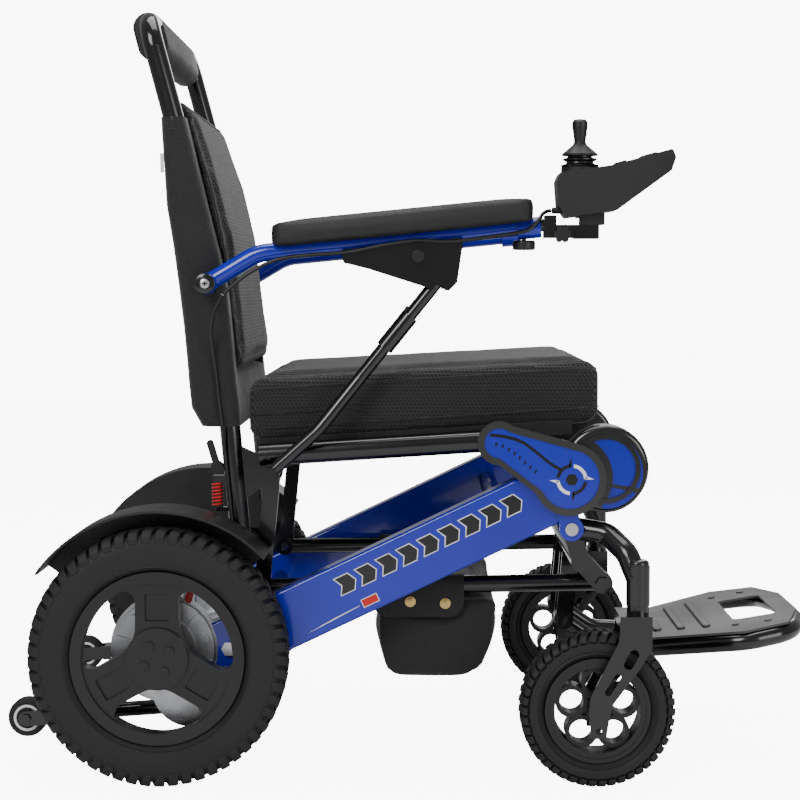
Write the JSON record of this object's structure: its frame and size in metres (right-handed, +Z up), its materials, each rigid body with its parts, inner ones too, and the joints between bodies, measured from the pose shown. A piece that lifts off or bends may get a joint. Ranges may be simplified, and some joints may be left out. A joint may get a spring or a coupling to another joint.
{
  "type": "folding power wheelchair",
  "caption": "Folding power wheelchair with box-beam frame, rear drive wheels, front castors, mesh cushions, flip-up armrests, footplate and joystick controller.",
  "frame": {"origin": "on the floor, under the middle of the whole chair", "axes": "+X towards the front of the chair, +Y towards its left-hand side, +Z up"},
  "size_m": [1.0362, 0.624, 0.9585],
  "materials": {
    "frame_blue": "gloss",
    "cover_shell": "gloss",
    "motor_cast": "satin",
    "fender": "satin",
    "frame_black": "gloss",
    "fastener_steel": "satin",
    "tyre": "matte",
    "rim": "satin",
    "lever_red": "gloss",
    "battery_case": "gloss",
    "tread_sheet": "textured",
    "bag_cloth": "woven",
    "seat_mesh": "spacer mesh",
    "back_cloth": "quilted nylon",
    "cushion_mesh": "spacer mesh",
    "grip_foam": "matte",
    "pad_foam": "textured",
    "controller_shell": "satin",
    "knob_plastic": "satin",
    "key_rubber": "matte",
    "boot_rubber": "gloss",
    "gimbal_metal": "satin",
    "cable_jacket": "satin"
  },
  "bodies": {
    "chassis": {"beams": "frame_blue", "drive_covers": "cover_shell", "motors": "motor_cast", "fenders": "fender", "rear_frame": "frame_black", "bolts": "fastener_steel"},
    "front_frame": {"front_frame": "frame_black"},
    "footplate": {"footplate_frame": "frame_black", "footplate_tread": "tread_sheet"},
    "lower_bars": {"lower_bars": "frame_black", "seat_bag": "bag_cloth"},
    "rear_links": {"rear_links": "frame_black"},
    "seat": {"seat_frame": "frame_black", "seat_cushion": "seat_mesh"},
    "back": {"back_frame": "frame_black", "back_panel": "back_cloth", "back_cushion": "cushion_mesh", "push_grip": "grip_foam", "back_cable": "cable_jacket"},
    "fold_lever": {"fold_lever": "knob_plastic"},
    "controller": {"controller_cover": "controller_shell", "controller_base": "controller_shell", "controller_bracket": "frame_black", "joystick_boot": "boot_rubber"},
    "joystick_gimbal": {"joystick_gimbal": "gimbal_metal"},
    "joystick": {"joystick": "knob_plastic"},
    "power_key": {"power_key": "key_rubber"},
    "horn_key": {"horn_key": "key_rubber"},
    "speed_rocker": {"speed_rocker": "key_rubber"},
    "star_knob": {"star_knob": "knob_plastic"},
    "thumbscrew": {"thumbscrew": "knob_plastic"},
    "rear_wheel_right": {"rear_tyre_right": "tyre", "rear_rim_right": "rim"},
    "anti_tip_right": {"anti_tip_wheel_right": "tyre"},
    "clutch_right": {"clutch_lever_right": "lever_red"},
    "battery_right": {"battery_right": "battery_case"},
    "castor_fork_right": {"caster_fork_right": "frame_black"},
    "castor_wheel_right": {"caster_tyre_right": "tyre", "caster_rim_right": "rim"},
    "armrest_hinge_right": {"armrest_pivot_right": "fastener_steel"},
    "armrest_right": {"armrest_tube_right": "frame_blue", "armrest_pad_right": "pad_foam", "armrest_bracket_right": "frame_black", "armrest_cable": "cable_jacket"},
    "strut_right": {"strut_right": "frame_black"},
    "plunger_right": {"plunger_right": "knob_plastic"},
    "rear_wheel_left": {"rear_tyre_left": "tyre", "rear_rim_left": "rim"},
    "anti_tip_left": {"anti_tip_wheel_left": "tyre"},
    "clutch_left": {"clutch_lever_left": "lever_red"},
    "battery_left": {"battery_left": "battery_case"},
    "castor_fork_left": {"caster_fork_left": "frame_black"},
    "castor_wheel_left": {"caster_tyre_left": "tyre", "caster_rim_left": "rim"},
    "armrest_hinge_left": {"armrest_pivot_left": "fastener_steel"},
    "armrest_left": {"armrest_tube_left": "frame_blue", "armrest_pad_left": "pad_foam", "armrest_bracket_left": "frame_black"},
    "strut_left": {"strut_left": "frame_black"},
    "plunger_left": {"plunger_left": "knob_plastic"}
  },
  "joints": [
    {"name": "frame_fold", "type": "hinge", "parent": "chassis", "child": "front_frame", "pos_m": [0.1916, 0, 0.312], "axis": [0, 1, 0], "range_deg": [0, 60], "deforming": ["seat_cushion"]},
    {"name": "seat_fold", "type": "hinge", "parent": "chassis", "child": "seat", "pos_m": [0.105, 0, 0.42], "axis": [0, 1, 0], "range_deg": [-12, 0]},
    {"name": "back_fold", "type": "hinge", "parent": "seat", "child": "back", "pos_m": [-0.181, 0, 0.38], "axis": [0, 1, 0], "range_deg": [0, 60]},
    {"name": "rear_link_swing", "type": "hinge", "parent": "seat", "child": "rear_links", "pos_m": [-0.181, 0, 0.38], "axis": [0, 1, 0], "range_deg": [0, 57]},
    {"name": "lower_bar_swing", "type": "hinge", "parent": "front_frame", "child": "lower_bars", "pos_m": [0.235, 0, 0.236], "axis": [0, 1, 0], "range_deg": [-60, 0]},
    {"name": "footplate_flip", "type": "hinge", "parent": "front_frame", "child": "footplate", "pos_m": [0.196, 0, 0.167], "axis": [0, 1, 0], "range_deg": [-70, 0]},
    {"name": "fold_lever_pull", "type": "hinge", "parent": "back", "child": "fold_lever", "pos_m": [-0.25118, -0.205, 0.384], "axis": [0, -1, 0], "range_deg": [0, 28], "stiffness_Nm_per_rad": 0.4, "springref_deg": -5.73},
    {"name": "rear_wheel_spin_right", "type": "hinge", "parent": "chassis", "child": "rear_wheel_right", "pos_m": [-0.3153, -0.282, 0.159], "axis": [0, 1, 0], "continuous": true},
    {"name": "anti_tip_spin_right", "type": "hinge", "parent": "chassis", "child": "anti_tip_right", "pos_m": [-0.4935, -0.206, 0.0653], "axis": [0, 1, 0], "continuous": true},
    {"name": "clutch_turn_right", "type": "hinge", "parent": "chassis", "child": "clutch_right", "pos_m": [-0.2843, -0.235, 0.221], "axis": [0, 1, 0], "range_deg": [0, 35]},
    {"name": "battery_slide_right", "type": "slide", "parent": "chassis", "child": "battery_right", "axis": [0.9018, 0, 0.4321], "range_m": [0, 0.25]},
    {"name": "castor_swivel_right", "type": "hinge", "parent": "front_frame", "child": "castor_fork_right", "pos_m": [0.2713, -0.277, 0.222], "axis": [0, 0, 1], "continuous": true},
    {"name": "castor_spin_right", "type": "hinge", "parent": "castor_fork_right", "child": "castor_wheel_right", "pos_m": [0.2213, -0.277, 0.095], "axis": [0, 1, 0], "continuous": true},
    {"name": "armrest_fold_right", "type": "hinge", "parent": "back", "child": "armrest_hinge_right", "pos_m": [-0.259, -0.24, 0.6146], "axis": [0, 1, 0], "range_deg": [-90, 0]},
    {"name": "armrest_lift_right", "type": "hinge", "parent": "armrest_hinge_right", "child": "armrest_right", "pos_m": [-0.259, -0.24, 0.6146], "axis": [0, 1, 0], "range_deg": [-90, 0]},
    {"name": "strut_fold_right", "type": "hinge", "parent": "seat", "child": "strut_right", "pos_m": [-0.181, -0.2493, 0.38], "axis": [0, 1, 0], "range_deg": [0, 25.1]},
    {"name": "plunger_pull_right", "type": "slide", "parent": "armrest_right", "child": "plunger_right", "axis": [0, -1, 0], "range_m": [0, 0.006], "stiffness_N_per_m": 300, "springref_m": -0.002},
    {"name": "rear_wheel_spin_left", "type": "hinge", "parent": "chassis", "child": "rear_wheel_left", "pos_m": [-0.3153, 0.282, 0.159], "axis": [0, 1, 0], "continuous": true},
    {"name": "anti_tip_spin_left", "type": "hinge", "parent": "chassis", "child": "anti_tip_left", "pos_m": [-0.4935, 0.206, 0.0653], "axis": [0, 1, 0], "continuous": true},
    {"name": "clutch_turn_left", "type": "hinge", "parent": "chassis", "child": "clutch_left", "pos_m": [-0.2843, 0.235, 0.221], "axis": [0, 1, 0], "range_deg": [0, 35]},
    {"name": "battery_slide_left", "type": "slide", "parent": "chassis", "child": "battery_left", "axis": [0.9018, 0, 0.4321], "range_m": [0, 0.25]},
    {"name": "castor_swivel_left", "type": "hinge", "parent": "front_frame", "child": "castor_fork_left", "pos_m": [0.2713, 0.277, 0.222], "axis": [0, 0, 1], "continuous": true},
    {"name": "castor_spin_left", "type": "hinge", "parent": "castor_fork_left", "child": "castor_wheel_left", "pos_m": [0.2213, 0.277, 0.095], "axis": [0, 1, 0], "continuous": true},
    {"name": "armrest_fold_left", "type": "hinge", "parent": "back", "child": "armrest_hinge_left", "pos_m": [-0.259, 0.24, 0.6146], "axis": [0, 1, 0], "range_deg": [-90, 0]},
    {"name": "armrest_lift_left", "type": "hinge", "parent": "armrest_hinge_left", "child": "armrest_left", "pos_m": [-0.259, 0.24, 0.6146], "axis": [0, 1, 0], "range_deg": [-90, 0]},
    {"name": "strut_fold_left", "type": "hinge", "parent": "seat", "child": "strut_left", "pos_m": [-0.181, 0.2493, 0.38], "axis": [0, 1, 0], "range_deg": [0, 25.1]},
    {"name": "plunger_pull_left", "type": "slide", "parent": "armrest_left", "child": "plunger_left", "axis": [0, 1, 0], "range_m": [0, 0.006], "stiffness_N_per_m": 300, "springref_m": -0.002},
    {"name": "controller_slide", "type": "slide", "parent": "armrest_right", "child": "controller", "axis": [0.9952, 0, 0.0976], "range_m": [0, 0.03], "deforming": ["armrest_cable"]},
    {"name": "stick_fore_aft", "type": "hinge", "parent": "controller", "child": "joystick_gimbal", "pos_m": [0.2, -0.24, 0.74], "axis": [0, 1, 0], "range_deg": [-18, 18], "stiffness_Nm_per_rad": 0.3, "deforming": ["joystick_boot"]},
    {"name": "stick_side", "type": "hinge", "parent": "joystick_gimbal", "child": "joystick", "pos_m": [0.2, -0.24, 0.74], "axis": [1, 0, 0], "range_deg": [-18, 18], "stiffness_Nm_per_rad": 0.3, "deforming": ["joystick_boot"]},
    {"name": "power_key_press", "type": "slide", "parent": "controller", "child": "power_key", "axis": [0.2618, 0, -0.9651], "range_m": [0, 0.001], "stiffness_N_per_m": 250, "springref_m": -0.001},
    {"name": "horn_key_press", "type": "slide", "parent": "controller", "child": "horn_key", "axis": [0.2618, 0, -0.9651], "range_m": [0, 0.001], "stiffness_N_per_m": 250, "springref_m": -0.001},
    {"name": "speed_rocker_tilt", "type": "hinge", "parent": "controller", "child": "speed_rocker", "pos_m": [0.28325, -0.24, 0.77045], "axis": [0.9651, 0, 0.2618], "range_deg": [-4, 4], "stiffness_Nm_per_rad": 0.1},
    {"name": "star_knob_turn", "type": "hinge", "parent": "controller", "child": "star_knob", "pos_m": [0.1776, -0.26, 0.675], "axis": [0, 1, 0], "range_deg": [0, 360]},
    {"name": "thumbscrew_turn", "type": "hinge", "parent": "armrest_right", "child": "thumbscrew", "pos_m": [0.132, -0.24, 0.665], "axis": [0, 0, 1], "range_deg": [0, 360]}
  ],
  "couplings": [
    {"joint": "seat_fold", "follows": "frame_fold", "ratio": -0.2},
    {"joint": "back_fold", "follows": "frame_fold", "ratio": 1},
    {"joint": "rear_link_swing", "follows": "frame_fold", "ratio": 0.95},
    {"joint": "lower_bar_swing", "follows": "frame_fold", "ratio": -1},
    {"joint": "armrest_fold_right", "follows": "frame_fold", "ratio": -1.5},
    {"joint": "strut_fold_right", "follows": "frame_fold", "ratio": 0.4167},
    {"joint": "armrest_fold_left", "follows": "frame_fold", "ratio": -1.5},
    {"joint": "strut_fold_left", "follows": "frame_fold", "ratio": 0.4167}
  ]
}
